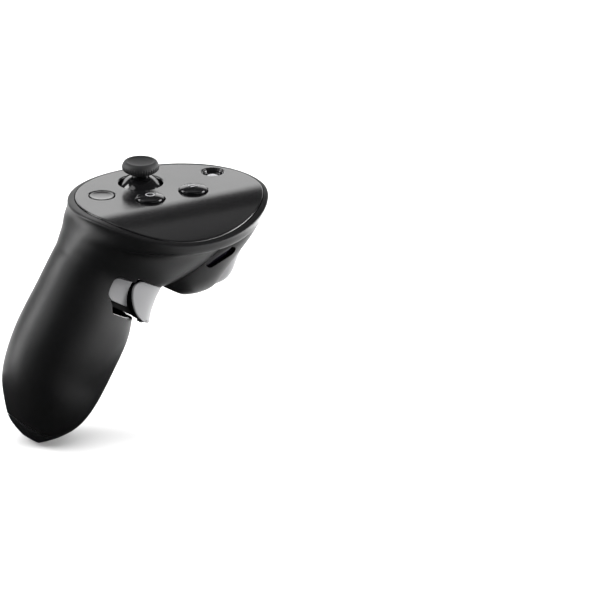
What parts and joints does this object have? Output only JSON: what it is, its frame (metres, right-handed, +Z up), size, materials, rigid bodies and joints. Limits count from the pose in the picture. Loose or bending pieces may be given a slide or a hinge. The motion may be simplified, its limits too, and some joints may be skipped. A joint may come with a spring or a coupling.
{
  "type": "vr motion controller",
  "caption": "Left-hand motion controller: teardrop head with thumbstick, face buttons and sensor, two sprung triggers and a tilted hollow handle with a tip socket.",
  "frame": {"origin": "centre of the tip socket's mouth, at the lower end of the handle", "axes": "+X forward, away from the user, along the flat face plate's length; +Y to the outer (left) side; +Z up, square to the flat face plate"},
  "size_m": [0.1056, 0.0657, 0.0951],
  "materials": {
    "board": "green solder mask",
    "cell": "foil-wrapped cell",
    "frame": "moulded grey-black",
    "gold": "gold-plated contact",
    "keel": "fine satin black",
    "key": "polished black with engraved marks",
    "plate": "smooth satin black",
    "shell": "soft-touch matte black",
    "silicone": "translucent grey silicone",
    "steel": "ground steel",
    "stick_plastic": "polished black",
    "stick_rubber": "matte moulded rubber",
    "trigger": "satin light grey",
    "window": "dark infrared window"
  },
  "bodies": {
    "root": {"grip_shell": "shell", "keel_cover": "keel", "front_cover": "shell", "side_window": "window", "charge_contacts": "gold", "face_plate": "plate", "rear_dome": "silicone", "front_dome": "silicone", "menu_dome": "silicone", "button_board": "board", "sensor_cup": "plate", "sensor_lens": "window", "sensor_module": "frame", "stick_case": "frame", "stick_switch": "frame", "index_pin": "steel", "index_bracket": "frame", "index_spring": "steel", "grip_pin": "steel", "grip_bracket": "frame", "battery_cell": "cell", "inner_frame": "frame", "main_board": "board", "haptic_motor": "steel", "antenna_strip": "board", "board_screws": "steel", "grip_spring": "steel", "index_haptic": "steel", "plate_gasket": "silicone", "sensor_board": "board"},
    "stick_ring": {"stick_ring": "frame"},
    "stick_hub": {"stick_hub": "frame"},
    "stick": {"stick_cap": "stick_rubber", "stick_stem": "stick_plastic", "stick_skirt": "stick_plastic"},
    "rear_button": {"rear_button": "key"},
    "front_button": {"front_button": "key"},
    "menu_button": {"menu_button": "key"},
    "index_trigger": {"index_trigger": "trigger"},
    "grip_trigger": {"grip_trigger": "trigger"}
  },
  "joints": [
    {"name": "stick_tilt_sideways", "type": "hinge", "parent": "root", "child": "stick_ring", "pos_m": [0.05666, 0.0166, 0.07963], "axis": [1, 0, 0], "range_deg": [-15, 15], "stiffness_Nm_per_rad": 0.02},
    {"name": "stick_tilt_fore_aft", "type": "hinge", "parent": "stick_ring", "child": "stick_hub", "pos_m": [0.05666, 0.0166, 0.07963], "axis": [0, 1, 0], "range_deg": [-15, 15], "stiffness_Nm_per_rad": 0.02},
    {"name": "stick_click", "type": "slide", "parent": "stick_hub", "child": "stick", "axis": [0, 0, -1], "range_m": [0, 0.0006], "stiffness_N_per_m": 1200},
    {"name": "rear_button_press", "type": "slide", "parent": "root", "child": "rear_button", "axis": [0, 0, -1], "range_m": [0, 0.0013], "stiffness_N_per_m": 350, "deforming": ["rear_dome"]},
    {"name": "front_button_press", "type": "slide", "parent": "root", "child": "front_button", "axis": [0, 0, -1], "range_m": [0, 0.0013], "stiffness_N_per_m": 350, "deforming": ["front_dome"]},
    {"name": "menu_button_press", "type": "slide", "parent": "root", "child": "menu_button", "axis": [0, 0, -1], "range_m": [0, 0.0004], "stiffness_N_per_m": 350, "deforming": ["menu_dome"]},
    {"name": "index_trigger_pull", "type": "hinge", "parent": "root", "child": "index_trigger", "pos_m": [0.07986, 0, 0.06763], "axis": [0, 1, 0], "range_deg": [0, 15], "stiffness_Nm_per_rad": 0.12},
    {"name": "grip_trigger_squeeze", "type": "hinge", "parent": "root", "child": "grip_trigger", "pos_m": [0.02508, -0.0119, 0.06064], "axis": [0.5, 0, 0.866], "range_deg": [0, 6], "stiffness_Nm_per_rad": 0.3}
  ]
}
